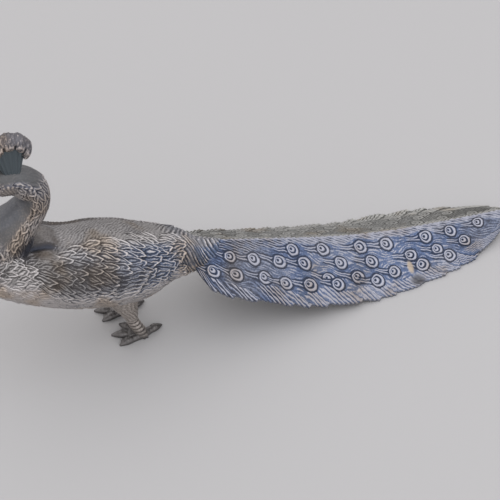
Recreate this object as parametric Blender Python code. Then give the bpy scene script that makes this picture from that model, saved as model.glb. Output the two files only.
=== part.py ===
"""Peacock figurine: a cast silver peacock standing on two feet, its long train sweeping
down behind it until the train's lower edges touch the table.

Metres, +Z up. The bird faces -X, its left side is -Y, and it stands on z = 0.
The whole bird is one casting, so it is one closed solid named "peacock".
"""

import math

import bmesh
import bpy
import numpy as np
from mathutils import Matrix, Vector
from mathutils.geometry import delaunay_2d_cdt

# Body, an egg that lies along X and narrows to the rump
BODY_LENGTH = 0.140          # breast to the end of the rump, which the train covers
BODY_DEPTH = 0.0490          # back to belly at its fullest
BODY_WIDTH = 0.0465          # side to side at its fullest
HIP_HEIGHT = 0.0505          # table to the body's middle, over the feet
BREAST_REACH = 0.090         # feet to the front of the breast
BODY_STATIONS = 36
BODY_SIDES = 28

# Wings, folded plates that stand proud of the sides
WING_LIFT = 0.0014
SHOULDER_LIFT = 0.0012       # extra lift of the rounded front of each wing
COLLAR_LIFT = 0.0026         # smooth cushion on the back behind the neck
NOTCH_DEPTH = 0.0030         # deep fold between the cushion and the breast
FEATHER_STEP = 0.0006        # rise of each feather's tip over the next one's root

# Neck and head, one tube that climbs from the breast, bends back and comes forward
NECK_HEIGHT = 0.1270         # table to the middle of the head
NECK_RADIUS = 0.0079         # at the bend
HEAD_RADIUS = 0.0073
BEAK_LENGTH = 0.0105
NECK_SIDES = 16
EYE_RADIUS = 0.0021
EYE_RELIEF = 0.0007

# Crest, a fan of stems that carries one thick rolled rim
CREST_HEIGHT = 0.0198        # crown to the middle of the rim, upright
CREST_SET_BACK = 0.0036      # middle of the head to the crest's root
CREST_DROOP = 0.22           # how much shorter the outermost stems are
CREST_RIM_RADIUS = 0.0046
CREST_SPREAD_DEG = 34.0      # each way from upright
CREST_STEM_THICKNESS = 0.0042
CREST_ROOT_SPREAD = 0.0046   # half the width of the stems where they leave the crown
CREST_ROOT_SWELL = 1.1       # how much thicker the stems are there, in shares
CREST_KNOBS = 5              # round feather ends along the rim

# Legs and feet
LEG_SPACING = 0.0200         # from the middle of one shank to the other's
SHANK_RADIUS = 0.0034
SHANK_HEIGHT = 0.0180        # table to the feathered knee
SHANK_RINGS = 6
RING_DEPTH = 0.0005
THIGH_RADIUS = 0.0088
TOE_LENGTH = 0.0168
HIND_TOE_LENGTH = 0.0125
TOE_HEIGHT = 0.0042
TOE_WIDTH = 0.0056
TOE_SPREAD_DEG = 32.0
FOOT_TURN_DEG = 20.0         # both feet are turned to the bird's right
HIND_TOE_DEG = 163.0         # where the toe behind points, from -X
WEB_HEIGHT = 0.0030          # of the low web that joins the toes in front
RIGHT_STEP = 0.0035          # how far the right foot stands ahead of the left
SOLE_TRIM = 0.0020           # metal ground off below the table, for flat soles and rims

# Train, two sloping sides that meet in a ridge
TRAIN_START = 0.0300         # feet to the front of the train
TRAIN_LENGTH = 0.1900
TRAIN_HALF_WIDTH = 0.0322
TRAIN_SLOPE_DEG = 33.0       # how steeply each side falls from the ridge
RIDGE_HEIGHT = 0.0525        # table to the ridge where the train starts
TRAIN_THICKNESS = 0.0052     # at the ridge
RIM_THICKNESS = 0.0013       # along the lower edges
BARB_PITCH = 0.0050          # one tooth of the fringed edge
BARB_DEPTH = 0.0011

# Eyes of the train's feathers, row by row from the ridge down. Each row has the share of the
# slope where it starts and ends, and each eye's place as a share of the train's length
EYE_ROWS = (
    (0.17, 0.23, (0.311, 0.403, 0.521, 0.602, 0.729, 0.809, 0.903)),
    (0.29, 0.51, (0.117, 0.186, 0.261, 0.334, 0.445, 0.541, 0.665, 0.751, 0.842)),
    (0.58, 0.67, (0.057, 0.121, 0.203, 0.393, 0.484, 0.599, 0.691, 0.782)),
    (0.67, 0.72, (0.261, 0.332, 0.417, 0.540)),
)
EYE_RADIUS_TRAIN = 0.0036
EYE_LIFT = 0.0009
EYE_SIDES = 8

SILVER = (0.46, 0.46, 0.47, 1.0)


def smooth_table(points):
    """A smooth function through (x, value, value...) rows, with no overshoot between them."""
    rows = np.array(points, float)
    x, y = rows[:, 0], rows[:, 1:]
    step = np.diff(x)[:, None]
    rise = np.diff(y, axis=0) / step
    slope = np.zeros_like(y)
    slope[0], slope[-1] = rise[0], rise[-1]
    for i in range(1, len(x) - 1):
        before, after = rise[i - 1], rise[i]
        same = before * after > 0
        slope[i] = np.where(same, 2 * before * after / np.where(same, before + after, 1), 0)

    def read(at):
        i = int(np.clip(np.searchsorted(x, at) - 1, 0, len(x) - 2))
        h = x[i + 1] - x[i]
        t = min(max((at - x[i]) / h, 0.0), 1.0)
        a = (1 + 2 * t) * (1 - t) ** 2
        b = t * (1 - t) ** 2 * h
        c = t * t * (3 - 2 * t)
        d = t * t * (t - 1) * h
        return a * y[i] + b * slope[i] + c * y[i + 1] + d * slope[i + 1]

    return read


def soft_step(value, low, high):
    t = min(max((value - low) / (high - low), 0.0), 1.0)
    return t * t * (3 - 2 * t)


def mesh_object(name, points, faces):
    mesh = bpy.data.meshes.new(name)
    mesh.from_pydata([tuple(p) for p in points], [], faces)
    mesh.validate()
    work = bmesh.new()
    work.from_mesh(mesh)
    bmesh.ops.triangulate(work, faces=work.faces[:])
    bmesh.ops.recalc_face_normals(work, faces=work.faces[:])
    work.to_mesh(mesh)
    work.free()
    made = bpy.data.objects.new(name, mesh)
    bpy.context.scene.collection.objects.link(made)
    return made


def loft(name, rings):
    """A closed skin over rings of points. A first or last ring of one point is a pole."""
    points = []
    starts = []
    faces = []
    for ring in rings:
        starts.append(len(points))
        points.extend(ring)
    for k in range(len(rings) - 1):
        low, high = rings[k], rings[k + 1]
        a, b = starts[k], starts[k + 1]
        count = max(len(low), len(high))
        for j in range(count):
            n = (j + 1) % count
            if len(low) == 1:
                faces.append((a, b + n, b + j))
            elif len(high) == 1:
                faces.append((a + j, a + n, b))
            else:
                faces.append((a + j, a + n, b + n, b + j))
    for k in (0, len(rings) - 1):
        if len(rings[k]) > 1:
            faces.append(tuple(starts[k] + j for j in range(len(rings[k]))))
    return mesh_object(name, points, faces)


# Share along the body, height of the middle above the hip in body depths, depth, width
body_profile = smooth_table((
    (0.00, 0.570, 0.000, 0.00),
    (0.02, 0.575, 0.340, 0.33),
    (0.06, 0.545, 0.560, 0.56),
    (0.12, 0.485, 0.720, 0.77),
    (0.20, 0.390, 0.830, 0.92),
    (0.30, 0.260, 0.885, 0.97),
    (0.40, 0.125, 0.900, 0.94),
    (0.52, 0.052, 0.940, 0.98),
    (0.62, -0.011, 0.907, 0.93),
    (0.70, -0.050, 0.775, 0.82),
    (0.78, -0.045, 0.585, 0.66),
    (0.86, -0.100, 0.460, 0.55),
    (0.92, -0.135, 0.350, 0.46),
    (0.97, -0.152, 0.190, 0.28),
    (1.00, -0.157, 0.000, 0.00),
))

# Share along the body, the wing's upper and lower edges in degrees down from the spine
wing_edges = smooth_table((
    (0.26, 75.0, 78.0),
    (0.29, 62.0, 92.0),
    (0.34, 52.0, 100.0),
    (0.44, 44.0, 106.0),
    (0.56, 42.0, 106.0),
    (0.68, 46.0, 98.0),
    (0.76, 56.0, 88.0),
    (0.82, 68.0, 76.0),
))


def wing_lift(share, degrees):
    """How far the folded wing stands out of the body there."""
    if not 0.26 < share < 0.82:
        return 0.0
    upper, lower = wing_edges(share)
    edge = 7.0
    inside = soft_step(degrees, upper, upper + edge) * (1 - soft_step(degrees, lower - edge, lower))
    front = soft_step(share, 0.26, 0.29) * (1 - soft_step(share, 0.36, 0.46))
    return inside * (WING_LIFT + SHOULDER_LIFT * front)


def collar_lift(share, degrees):
    """The cushion behind the neck, and the fold in front of and below it."""
    cushion = math.exp(-((share - 0.335) / 0.034) ** 2 - (degrees / 34) ** 2)
    fold = math.exp(-((share - 0.264) / 0.030) ** 2 - ((degrees - 30) / 14) ** 2)
    return COLLAR_LIFT * cushion - NOTCH_DEPTH * fold


def body_point(share, turn):
    """A point of the body's skin: share from breast to rump, turn from the spine over the left."""
    rise, depth, width = body_profile(share)
    across = -math.sin(turn) * (width * BODY_WIDTH / 2)
    up = math.cos(turn) * (depth * BODY_DEPTH / 2)
    height = HIP_HEIGHT + rise * BODY_DEPTH + up
    return Vector((share * BODY_LENGTH - BREAST_REACH, across, height))


def make_body():
    rings = [[body_point(0, 0)]]
    for i in range(1, BODY_STATIONS):
        share = (1 - math.cos(math.pi * i / BODY_STATIONS)) / 2
        share = 0.55 * i / BODY_STATIONS + 0.45 * share
        middle = (body_point(share, 0) + body_point(share, math.pi)) / 2
        depth = body_profile(share)[1]
        ring = []
        for j in range(BODY_SIDES):
            turn = 2 * math.pi * (j + 0.5) / BODY_SIDES
            point = body_point(share, turn)
            degrees = math.degrees(min(turn, 2 * math.pi - turn))
            feather = FEATHER_STEP * ((i + j) % 2 - 0.5) * min(depth * 1.5, 1)
            out = (point - middle).normalized()
            lift = wing_lift(share, degrees) + collar_lift(share, degrees) + feather
            ring.append(point + out * lift)
        rings.append(ring)
    rings.append([body_point(1, 0)])
    return loft("body", rings)


# The neck and head's middle line: feet to it along X and its height, both in shares of
# NECK_HEIGHT, then half the depth and half the width in shares of NECK_RADIUS
NECK_PATH = (
    (-0.530, 0.560, 2.30, 2.35),
    (-0.520, 0.665, 1.92, 1.84),
    (-0.474, 0.742, 1.62, 1.58),
    (-0.423, 0.798, 1.27, 1.22),
    (-0.384, 0.848, 1.08, 1.06),
    (-0.371, 0.900, 1.00, 1.00),
    (-0.387, 0.952, 0.98, 0.98),
    (-0.426, 0.988, 0.97, 0.95),
    (-0.474, 0.998, 0.97, 0.93),
    (-0.512, 0.996, 0.90, 0.84),
    (-0.540, 0.984, 0.66, 0.60),
    (-0.560, 0.972, 0.40, 0.34),
)


def make_neck():
    """The neck, the head and the beak as one tube along the middle line."""
    path = [(Vector((x * NECK_HEIGHT, 0, z * NECK_HEIGHT)), deep * NECK_RADIUS, wide * NECK_RADIUS)
            for x, z, deep, wide in NECK_PATH]
    base = path[-1][0]
    root_deep, root_wide = path[-1][1], path[-1][2]
    for share, size in ((0.55, 0.72), (0.88, 0.40)):
        drop = 0.34 * share + 0.25 * share * share
        point = base + Vector((-share, 0, -drop)) * BEAK_LENGTH
        path.append((point, root_deep * size, root_wide * size))
    tip = base + Vector((-1.0, 0, -0.66)) * BEAK_LENGTH
    middles = [p[0] for p in path] + [tip]
    rings = []
    for k, (middle, deep, wide) in enumerate(path):
        along = (middles[k + 1] - middles[max(k - 1, 0)]).normalized()
        up = Vector((0, 1, 0)).cross(along).normalized()
        ring = []
        for j in range(NECK_SIDES):
            turn = 2 * math.pi * j / NECK_SIDES
            feather = FEATHER_STEP * 0.45 * ((k + j) % 2 - 0.5) if k < 9 else 0.0
            ring.append(middle + up * (math.cos(turn) * (deep + feather))
                        + Vector((0, 1, 0)) * (math.sin(turn) * (wide + feather)))
        rings.append(ring)
    rings.append([tip])
    return loft("neck", rings)


def head_middle():
    x, z = NECK_PATH[8][0], NECK_PATH[8][1]
    return Vector((x * NECK_HEIGHT, 0, z * NECK_HEIGHT))


def make_eyes():
    """Low round bosses on both sides of the head."""
    made = []
    for side in (-1, 1):
        middle = head_middle() + Vector((-0.0052, 0, 0.0012))
        reach = 0.80 * NECK_RADIUS + EYE_RELIEF
        rings = []
        for out, size in ((-2.6, 1.0), (0.72, 1.0), (1.0, 0.6)):
            y = side * (reach - EYE_RELIEF + out * EYE_RELIEF)
            rings.append([
                Vector((middle.x + size * EYE_RADIUS * math.cos(a), y,
                        middle.z + size * EYE_RADIUS * math.sin(a)))
                for a in (2 * math.pi * j / 8 for j in range(8))
            ])
        made.append(loft("eye", rings))
    return made


def crest_point(lean, share):
    """A point of the crest's fan in the middle plane: lean towards the tail, share of its stem."""
    root = head_middle() + Vector((CREST_SET_BACK, 0, 0.62 * HEAD_RADIUS))
    droop = 1 - CREST_DROOP * (lean / math.radians(CREST_SPREAD_DEG)) ** 2
    return root + Vector((math.sin(lean), 0, math.cos(lean))) * (CREST_HEIGHT * droop * share)


def make_crest():
    """The grooved stem plate and the thick rim with its round feather ends."""
    spread = math.radians(CREST_SPREAD_DEG)
    half = CREST_STEM_THICKNESS / 2
    columns = 4 * CREST_KNOBS
    levels = (0.02, 0.45, 0.98)
    near, far = [], []
    faces = []
    for i in range(columns + 1):
        lean = spread * (2 * i / columns - 1) * 0.90
        groove = 0.60 if i % 2 else 1.0
        for share in levels:
            thick = half * groove * (1 + CREST_ROOT_SWELL * (1 - share) ** 1.5)
            root_spread = Vector((CREST_ROOT_SPREAD * (1 - share) * lean / spread, 0, 0))
            point = crest_point(lean, share) + root_spread
            near.append(point + Vector((0, -thick, 0)))
            far.append(point + Vector((0, thick, 0)))
    rows = len(levels)
    total = len(near)
    for i in range(columns):
        for k in range(rows - 1):
            a, b = i * rows + k, (i + 1) * rows + k
            faces.append((a, b, b + 1, a + 1))
            faces.append((total + a, total + a + 1, total + b + 1, total + b))
        for k in (0, rows - 1):
            a, b = i * rows + k, (i + 1) * rows + k
            faces.append((a, total + a, total + b, b))
    for i in (0, columns):
        for k in range(rows - 1):
            a = i * rows + k
            faces.append((a, a + 1, total + a + 1, total + a))
    stems = mesh_object("crest_stems", near + far, faces)

    steps = 4 * (CREST_KNOBS - 1)
    end = spread + 0.85 * CREST_RIM_RADIUS / CREST_HEIGHT
    rings = [[crest_point(-end, 1.0)]]
    for i in range(steps + 1):
        lean = spread * (2 * i / steps - 1)
        swell = 0.93 + 0.07 * math.cos(2 * math.pi * (CREST_KNOBS - 1) * i / steps)
        size = CREST_RIM_RADIUS * swell * (0.86 if i in (0, steps) else 1.0)
        out = Vector((math.sin(lean), 0, math.cos(lean)))
        rings.append([
            crest_point(lean, 1.0)
            + out * (size * math.cos(a)) + Vector((0, size * math.sin(a), 0))
            for a in (2 * math.pi * j / 10 for j in range(10))
        ])
    rings.append([crest_point(end, 1.0)])
    return [stems, loft("crest_rim", rings)]


def right_step(side):
    """How far this side's foot is set ahead."""
    return RIGHT_STEP if side > 0 else 0.0


def make_leg(side):
    """Thigh and ringed shank. side is -1 for the bird's left leg and 1 for its right."""
    y = side * LEG_SPACING / 2
    step = right_step(side)
    sections = [
        (-0.0086, HIP_HEIGHT - 0.0085, THIGH_RADIUS * 1.04, THIGH_RADIUS * 0.74),
        (-0.0084, HIP_HEIGHT - 0.0140, THIGH_RADIUS * 1.02, THIGH_RADIUS * 0.74),
        (-0.0074, SHANK_HEIGHT + 0.0110, THIGH_RADIUS * 0.80, THIGH_RADIUS * 0.66),
        (-0.0056 - 0.2 * step, SHANK_HEIGHT + 0.0045, THIGH_RADIUS * 0.56, THIGH_RADIUS * 0.52),
        (-0.0046 - 0.3 * step, SHANK_HEIGHT, SHANK_RADIUS * 1.12, SHANK_RADIUS * 1.12),
    ]
    ankle = TOE_HEIGHT * 0.55
    for k in range(2 * SHANK_RINGS + 1):
        share = k / (2 * SHANK_RINGS)
        z = SHANK_HEIGHT * 0.97 * (1 - share) + ankle * share
        radius = SHANK_RADIUS - RING_DEPTH * (k % 2 == 0)
        sections.append((-0.0046 + 0.0060 * share - step * (0.3 + 0.7 * share), z, radius, radius))
    rings = []
    for x, z, deep, wide in sections:
        rings.append([
            Vector((x + deep * math.cos(a), y + wide * math.sin(a), z))
            for a in (2 * math.pi * j / 10 for j in range(10))
        ])
    return loft("leg", rings)


def make_toe(side, degrees, length, bulk, sink):
    """One toe, its knuckle raised and its claw bent down. It reaches sink below the table."""
    ankle = Vector((0.0014 - right_step(side), side * LEG_SPACING / 2, 0))
    angle = math.radians(degrees)
    ahead = Vector((-math.cos(angle), math.sin(angle), 0))
    across = Vector((-ahead.y, ahead.x, 0))
    rings = []
    for share, high, wide in ((-0.18, 0.80, 0.9), (0.15, 1.0, 1.0), (0.42, 0.80, 0.86),
                              (0.62, 0.92, 0.92), (0.84, 0.60, 0.62), (1.0, 0.22, 0.20)):
        middle = ankle + ahead * (length * share)
        half = TOE_WIDTH / 2 * wide * bulk
        top = TOE_HEIGHT * high * bulk
        outline = ((-1.0, 0.38), (-0.62, 0.86), (0, 1), (0.62, 0.86), (1.0, 0.38))
        ring = [middle + across * (half * a) + Vector((0, 0, top * b)) for a, b in outline]
        ring.append(middle + across * (half * 0.86) - Vector((0, 0, sink)))
        ring.append(middle - across * (half * 0.86) - Vector((0, 0, sink)))
        rings.append(ring)
    return loft("toe", rings)


def make_web(side, sink):
    """The low web between the three toes ahead. It reaches sink below the table."""
    ankle = Vector((0.0014 - right_step(side), side * LEG_SPACING / 2, 0))
    angle = math.radians(FOOT_TURN_DEG)
    ahead = Vector((-math.cos(angle), math.sin(angle), 0))
    across = Vector((-ahead.y, ahead.x, 0))
    fan = math.tan(math.radians(TOE_SPREAD_DEG)) * TOE_LENGTH
    rings = []
    for share, high in ((0.02, 1.0), (0.30, 1.0), (0.50, 0.78), (0.66, 0.52)):
        middle = ankle + ahead * (TOE_LENGTH * share)
        half = fan * max(share, 0.10)
        top = WEB_HEIGHT * high
        outline = ((-1.0, 0.55), (-0.5, 1), (0.5, 1), (1.0, 0.55))
        ring = [middle + across * (half * a) + Vector((0, 0, top * b)) for a, b in outline]
        ring.append(middle + across * half - Vector((0, 0, sink)))
        ring.append(middle - across * half - Vector((0, 0, sink)))
        rings.append(ring)
    return loft("web", rings)


def make_foot(side):
    """Three toes ahead and one behind, as degrees from -X towards the bird's right."""
    toes = []
    for k, (degrees, length, bulk) in enumerate((
            (FOOT_TURN_DEG - TOE_SPREAD_DEG, TOE_LENGTH * 0.84, 0.95),
            (FOOT_TURN_DEG, TOE_LENGTH, 1.0),
            (FOOT_TURN_DEG + TOE_SPREAD_DEG, TOE_LENGTH * 0.90, 0.97),
            (HIND_TOE_DEG, HIND_TOE_LENGTH, 0.91))):
        sink = SOLE_TRIM * (0.4 + 0.12 * k)
        toes.append(make_toe(side, degrees, length, bulk, sink))
    toes.append(make_web(side, SOLE_TRIM * 0.88))
    return toes


# Share along the train, its half width in shares of the fullest
train_width = smooth_table((
    (0.000, 0.30),
    (0.018, 0.52),
    (0.045, 0.74),
    (0.105, 0.845),
    (0.220, 0.930),
    (0.330, 1.000),
    (0.530, 0.985),
    (0.660, 0.920),
    (0.790, 0.790),
    (0.860, 0.665),
    (0.915, 0.500),
    (0.960, 0.330),
    (0.985, 0.190),
    (1.000, 0.000),
))

# Share along the train, the ridge's height in shares of its height at the start, and the slope
train_ridge = smooth_table((
    (0.00, 1.000, 1.00),
    (0.10, 0.890, 1.02),
    (0.25, 0.715, 1.06),
    (0.40, 0.540, 1.03),
    (0.53, 0.415, 1.00),
    (0.66, 0.325, 0.94),
    (0.79, 0.268, 0.88),
    (0.92, 0.222, 0.82),
    (1.00, 0.195, 0.78),
))


def train_top(x, y):
    """Height of the train's upper face."""
    height, slope = train_ridge((x - TRAIN_START) / TRAIN_LENGTH)
    fall = math.tan(math.radians(TRAIN_SLOPE_DEG * slope))
    return max(height * RIDGE_HEIGHT - abs(y) * fall, RIM_THICKNESS)


def train_half_width(x):
    return train_width((x - TRAIN_START) / TRAIN_LENGTH)[0] * TRAIN_HALF_WIDTH


def train_thickness(x, y):
    """Upright thickness, from the ridge out to the rim."""
    half = max(train_half_width(x), 1e-4)
    out = min(abs(y) / half, 1.0)
    taper = min(half / (0.6 * TRAIN_HALF_WIDTH), 1.0)
    middle = RIM_THICKNESS + (TRAIN_THICKNESS - RIM_THICKNESS) * taper
    return middle + (RIM_THICKNESS - middle) * out ** 1.3


def train_outline():
    """The train's plan, fringed along both sides, from the front round the tip and back."""
    teeth = int(round(TRAIN_LENGTH / BARB_PITCH))
    side = []
    for k in range(2 * teeth):
        x = TRAIN_START + TRAIN_LENGTH * k / (2 * teeth)
        out = -BARB_DEPTH * (k % 2) * soft_step(k, 1, 6)
        side.append((x, train_half_width(x) + out))
    tip = [(TRAIN_START + TRAIN_LENGTH, 0.0)]
    return [(x, -y) for x, y in side] + tip + [(x, y) for x, y in reversed(side)]


def train_eyes():
    """The middles and radii of the feather eyes on both sides, in plan."""
    eyes = []
    for first, last, places in EYE_ROWS:
        for k, place in enumerate(places):
            x = TRAIN_START + TRAIN_LENGTH * place
            half = train_half_width(x)
            y = half * (first + (last - first) * k / (len(places) - 1))
            radius = EYE_RADIUS_TRAIN * (0.72 + 0.28 * half / TRAIN_HALF_WIDTH)
            eyes += [(x, -y, radius), (x, y, radius)]
    return eyes


def plan_mesh(outline, inner, creases):
    """Triangles over a plan outline, with extra points inside it and lines that stay edges."""
    points = [Vector(p) for p in outline + inner]
    edges = [(a + len(outline), b + len(outline)) for a, b in creases]
    done = delaunay_2d_cdt(points, edges, [list(range(len(outline)))], 1, 1e-6)
    return [tuple(v) for v in done[0]], [tuple(f) for f in done[2]]


def make_train():
    outline = train_outline()
    narrow = math.cos(math.radians(TRAIN_SLOPE_DEG))
    inner, creases, lifts = [], [], {}

    ridge_steps = 40
    for k in range(1, ridge_steps):
        inner.append((TRAIN_START + TRAIN_LENGTH * k / ridge_steps, 0.0))
        if k > 1:
            creases.append((len(inner) - 2, len(inner) - 1))
    eyes = train_eyes()
    for x, y, radius in eyes:
        for size, lift in ((1.0, 0.0), (0.78, 1.0), (0.48, 0.25)):
            first = len(inner)
            for j in range(EYE_SIDES):
                turn = 2 * math.pi * (j + 0.5) / EYE_SIDES
                point = (x + size * radius * math.cos(turn), y + size * radius * narrow * math.sin(turn))
                inner.append(point)
                lifts[(round(point[0], 6), round(point[1], 6))] = lift * EYE_LIFT
                creases.append((first + j, first + (j + 1) % EYE_SIDES))
        inner.append((x, y))
        lifts[(round(x, 6), round(y, 6))] = 0.9 * EYE_LIFT
    for side in (-1, 1):
        for k in range(1, 24):
            x = TRAIN_START + TRAIN_LENGTH * (k + 0.5) / 25
            for share in (0.28, 0.60, 0.88):
                y = side * share * train_half_width(x)
                clear = all(math.hypot(x - ex, (y - ey) / narrow) > 1.25 * r for ex, ey, r in eyes)
                if clear:
                    inner.append((x, y))

    top_points, top_faces = plan_mesh(outline, inner, creases)
    ridge_only = [p for p in inner[:ridge_steps - 1]]
    under_inner = list(ridge_only)
    under_creases = [(k - 1, k) for k in range(1, len(ridge_only))]
    for side in (-1, 1):
        for k in range(1, 18):
            x = TRAIN_START + TRAIN_LENGTH * (k + 0.5) / 19
            under_inner.append((x, side * 0.5 * train_half_width(x)))
    low_points, low_faces = plan_mesh(outline, under_inner, under_creases)

    points = []
    for x, y in top_points:
        lift = lifts.get((round(x, 6), round(y, 6)), 0.0)
        points.append((x, y, train_top(x, y) + lift))
    base = len(points)
    for x, y in low_points:
        points.append((x, y, max(train_top(x, y) - train_thickness(x, y), -0.3 * SOLE_TRIM)))
    faces = list(top_faces) + [tuple(base + i for i in face) for face in low_faces]
    for k in range(len(outline)):
        n = (k + 1) % len(outline)
        faces.append((k, n, base + n, base + k))
    return mesh_object("train", points, faces)


def silver():
    """The cast, tarnished silver of the whole bird."""
    made = bpy.data.materials.new("tarnished_silver")
    made.use_nodes = True
    shader = made.node_tree.nodes["Principled BSDF"]
    shader.inputs["Base Color"].default_value = SILVER
    shader.inputs["Metallic"].default_value = 0.9
    shader.inputs["Roughness"].default_value = 0.42
    return made


def main():
    for old in list(bpy.data.objects):
        bpy.data.objects.remove(old, do_unlink=True)

    casting = make_body()
    casting.name = "peacock"
    joined = [make_neck(), *make_eyes(), *make_crest(), make_train()]
    for side in (-1, 1):
        joined += [make_leg(side), *make_foot(side)]

    # The origin is on the table under the middle of the bird's length
    places = [v.co.x for part in [casting] + joined for v in part.data.vertices]
    shift = Matrix.Translation((-(min(places) + max(places)) / 2, 0, 0))
    for part in [casting] + joined:
        part.data.transform(shift)

    # Everything is cast in one with the body
    for part in joined:
        part.hide_render = True
        part.display_type = "WIRE"
        union = casting.modifiers.new("cast_with_" + part.name, "BOOLEAN")
        union.operation = "UNION"
        union.solver = "EXACT"
        union.object = part
    # The soles and the train's rims are ground flat on the table
    trim = mesh_object("sole_trim", [
        (x, y, z) for x in (-0.5, 0.5) for y in (-0.2, 0.2) for z in (-0.1, 0.0)
    ], [(0, 1, 3, 2), (4, 6, 7, 5), (0, 4, 5, 1), (2, 3, 7, 6), (0, 2, 6, 4), (1, 5, 7, 3)])
    trim.hide_render = True
    trim.display_type = "WIRE"
    grind = casting.modifiers.new("grind_flat", "BOOLEAN")
    grind.operation = "DIFFERENCE"
    grind.solver = "EXACT"
    grind.object = trim
    casting.data.materials.append(silver())


main()
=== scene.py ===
import math

import bpy
import numpy as np
from mathutils import Matrix, Vector


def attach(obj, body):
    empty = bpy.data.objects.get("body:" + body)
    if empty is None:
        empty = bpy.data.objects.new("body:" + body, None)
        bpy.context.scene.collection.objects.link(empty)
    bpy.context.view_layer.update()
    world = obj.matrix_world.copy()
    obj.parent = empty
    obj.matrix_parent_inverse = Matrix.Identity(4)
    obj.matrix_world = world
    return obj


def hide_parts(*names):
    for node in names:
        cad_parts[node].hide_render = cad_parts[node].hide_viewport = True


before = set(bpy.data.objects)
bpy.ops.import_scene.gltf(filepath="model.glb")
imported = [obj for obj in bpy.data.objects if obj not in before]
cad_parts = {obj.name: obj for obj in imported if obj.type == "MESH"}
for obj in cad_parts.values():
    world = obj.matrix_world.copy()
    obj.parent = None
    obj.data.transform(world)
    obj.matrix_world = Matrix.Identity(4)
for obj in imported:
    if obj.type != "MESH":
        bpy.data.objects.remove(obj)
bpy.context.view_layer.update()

feetX = -0.065  # the feet stand here, the bird faces -X


# Small tools

def curveReader(x, y, slope):
    # reads the curve through rows y of values at the places x, with the slopes given
    def read(at, column=0):
        at = np.asarray(at, float)
        i = np.clip(np.searchsorted(x, at) - 1, 0, len(x) - 2)
        h = x[i + 1] - x[i]
        t = np.clip((at - x[i]) / h, 0, 1)
        a, b = (1 + 2 * t) * (1 - t) ** 2, t * (1 - t) ** 2 * h
        c, d = t * t * (3 - 2 * t), t * t * (t - 1) * h
        return (a * y[i, column] + b * slope[i, column]
                + c * y[i + 1, column] + d * slope[i + 1, column])

    return read


def smoothTable(points):
    # smooth curve through rows of (x, value, value...), never overshooting
    rows = np.array(points, float)
    x, y = rows[:, 0], rows[:, 1:]
    gap = np.diff(x)[:, None]
    rise = np.diff(y, axis=0) / gap
    slope = np.zeros_like(y)
    slope[0], slope[-1] = rise[0], rise[-1]
    before, after = rise[:-1], rise[1:]
    same = before * after > 0
    slope[1:-1] = np.where(same, 2 * before * after / np.where(same, before + after, 1), 0)
    return curveReader(x, y, slope)


def softStep(value, low, high):
    t = np.clip((value - low) / (high - low), 0, 1)
    return t * t * (3 - 2 * t)


def wave(phase):
    # one rise and fall for each whole number
    return np.cos(2 * np.pi * phase)


def bolder(value, power):
    # a wave with fuller crests and hollows
    return np.sign(value) * np.abs(value) ** power


def bell(value, middle, width):
    # 1 at the middle, falling off smoothly on both sides
    return np.exp(-((value - middle) / width) ** 2)


def ripple(a, b, seed=0.0):
    # slow uneven waves between -1 and 1, for a hand-made look
    return (np.sin(a + b * 0.7 + seed) + np.sin(a * -0.6 + b * 1.3 + seed * 2.1 + 1.7)
            + np.sin(a * 1.7 + b * -0.4 + seed * 0.6 + 4.1)) / 3


def scatter(n, seed):
    # n repeatable uneven numbers between -1 and 1
    mixed = np.sin(np.arange(1, n + 1) * 12.9898 + seed * 78.233) * 43758.5453
    return 2 * np.modf(np.abs(mixed))[0] - 1


def handDrawn(along, across, size, seed):
    # the same places pushed about a little, so that nothing repeats exactly
    shiftA = (ripple(along * 560, across * 700, seed)
              + 0.45 * ripple(along * 1500, across * 1900, seed + 3))
    shiftB = (ripple(along * 640, across * 520, seed + 5)
              + 0.45 * ripple(along * 1700, across * 1400, seed + 8))
    return along + size * shiftA, across + size * shiftB


def skinNormals(points, wrapColumns):
    # normals of a grid of points, from the run of its rows and columns
    if wrapColumns:
        around = np.roll(points[:, :-1], -1, axis=1) - np.roll(points[:, :-1], 1, axis=1)
        around = np.concatenate([around, around[:, :1]], axis=1)
    else:
        around = np.gradient(points, axis=1)
    along = np.gradient(points, axis=0)
    normal = np.cross(around, along)
    size = np.linalg.norm(normal, axis=2, keepdims=True)
    return normal / np.maximum(size, 1e-12)


def outwardNormals(points):
    # the same for a tube, turned away from its middle
    normal = skinNormals(points, True)
    centre = points[:, :-1].mean(axis=1, keepdims=True)
    return normal * np.sign(((points - centre) * normal).sum(axis=2, keepdims=True))


def carvedSkin(skin, height):
    # the carving laid on a tube
    return skin + outwardNormals(skin) * height[..., None]


def roundTurns(rows, columns):
    # the turn round a tube at each point, the last column on the first
    return np.repeat(np.linspace(0, 2 * np.pi, columns)[None, :], rows, 0)


def degreesDown(turn):
    # degrees from the top of a tube, the same on both sides
    return np.degrees(np.minimum(turn, 2 * np.pi - turn))


def metresDown(skin):
    # metres round from the top of a tube, the same on both sides
    step = np.linalg.norm(np.diff(skin, axis=1), axis=2)
    around = np.concatenate([np.zeros((len(skin), 1)), np.cumsum(step, axis=1)], axis=1)
    return np.minimum(around, around[:, -1:] - around)


def closeSeam(*grids):
    for grid in grids:
        grid[:, -1] = grid[:, 0]


def ring(*grids):
    # grids side by side, ending on the column they start on
    return np.concatenate([*grids, grids[0][:, :1]], axis=1)


def blurGrid(height, radius, wrapColumns):
    # box blur, twice, along both ways of a grid
    width = 2 * radius + 1
    for mode in ("edge", "wrap" if wrapColumns else "edge") * 2:
        total = np.cumsum(np.pad(height, ((radius + 1, radius), (0, 0)), mode=mode), axis=0)
        height = ((total[width:] - total[:-width]) / width).T
    return height


def creviceOf(height, radius, depth, wrapColumns=False):
    # 0 on what stands proud, 1 down in the carving
    return 0.5 + (blurGrid(height, radius, wrapColumns) - height) / depth


# values for the finish: how dark by depth, with painted shade added in places; how stained, with
# painted shade in places; how blue, from blue tarnish and a painted sky reflection
lookNames = ("crevice", "stainAndPaintedShade", "blueTarnishAndPaintedLight")


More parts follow.
